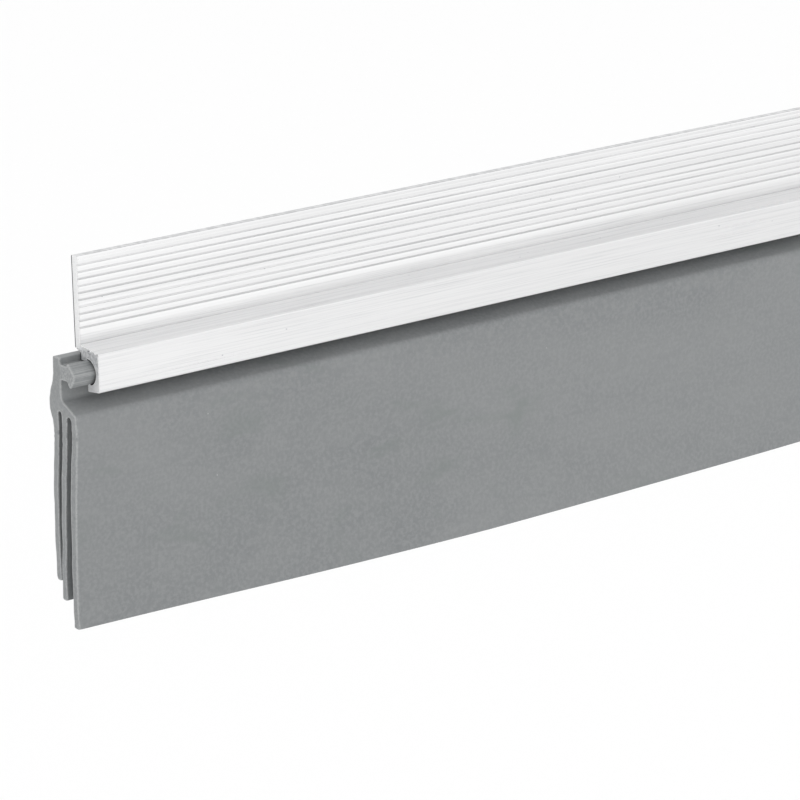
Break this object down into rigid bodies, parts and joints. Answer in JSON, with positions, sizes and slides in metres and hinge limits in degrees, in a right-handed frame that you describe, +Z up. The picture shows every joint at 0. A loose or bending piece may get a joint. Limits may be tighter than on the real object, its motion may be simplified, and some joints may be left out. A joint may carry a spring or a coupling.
{
  "type": "door sweep",
  "caption": "Aluminium door sweep with a grooved screw flange and a slide-in vinyl insert whose fins hang in steps to seal the gap under a door.",
  "frame": {"origin": "on the flange's flat back face, at mid length of the retainer and on the line of the screws", "axes": "+X along the door, +Y from the sweep into the door's face, +Z up"},
  "size_m": [0.9183, 0.0174, 0.0599],
  "materials": {
    "aluminium": "mill finish with fine lengthwise die lines",
    "vinyl": "matte grey flexible vinyl",
    "zinc_steel": "bright zinc plate"
  },
  "bodies": {
    "retainer": {"retainer": "aluminium"},
    "insert": {"insert_spine": "vinyl"},
    "front_fin": {"front_fin": "vinyl"},
    "middle_fin": {"middle_fin": "vinyl"},
    "rear_fin": {"rear_fin": "vinyl"},
    "screws": {"screw_1": "zinc_steel", "screw_2": "zinc_steel", "screw_3": "zinc_steel", "screw_4": "zinc_steel"}
  },
  "joints": [
    {"name": "insert_slide", "type": "slide", "parent": "retainer", "child": "insert", "axis": [1, 0, 0], "range_m": [-0.04, 0.04]},
    {"name": "front_fin_flex", "type": "hinge", "parent": "insert", "child": "front_fin", "pos_m": [-0.0039, -0.0046, -0.0205], "axis": [1, 0, 0], "range_deg": [-35, 35], "stiffness_Nm_per_rad": 0.29},
    {"name": "middle_fin_flex", "type": "hinge", "parent": "insert", "child": "middle_fin", "pos_m": [-0.0039, -0.0019, -0.0205], "axis": [1, 0, 0], "range_deg": [-35, 35], "stiffness_Nm_per_rad": 0.29},
    {"name": "rear_fin_flex", "type": "hinge", "parent": "insert", "child": "rear_fin", "pos_m": [-0.0039, 0.0003, -0.0205], "axis": [1, 0, 0], "range_deg": [-35, 35], "stiffness_Nm_per_rad": 0.29},
    {"name": "height_adjust", "type": "slide", "parent": "retainer", "child": "screws", "axis": [0, 0, 1], "range_m": [-0.0024, 0.0024]}
  ],
  "couplings": [
    {"joint": "middle_fin_flex", "follows": "front_fin_flex", "ratio": 1},
    {"joint": "rear_fin_flex", "follows": "front_fin_flex", "ratio": 1}
  ]
}
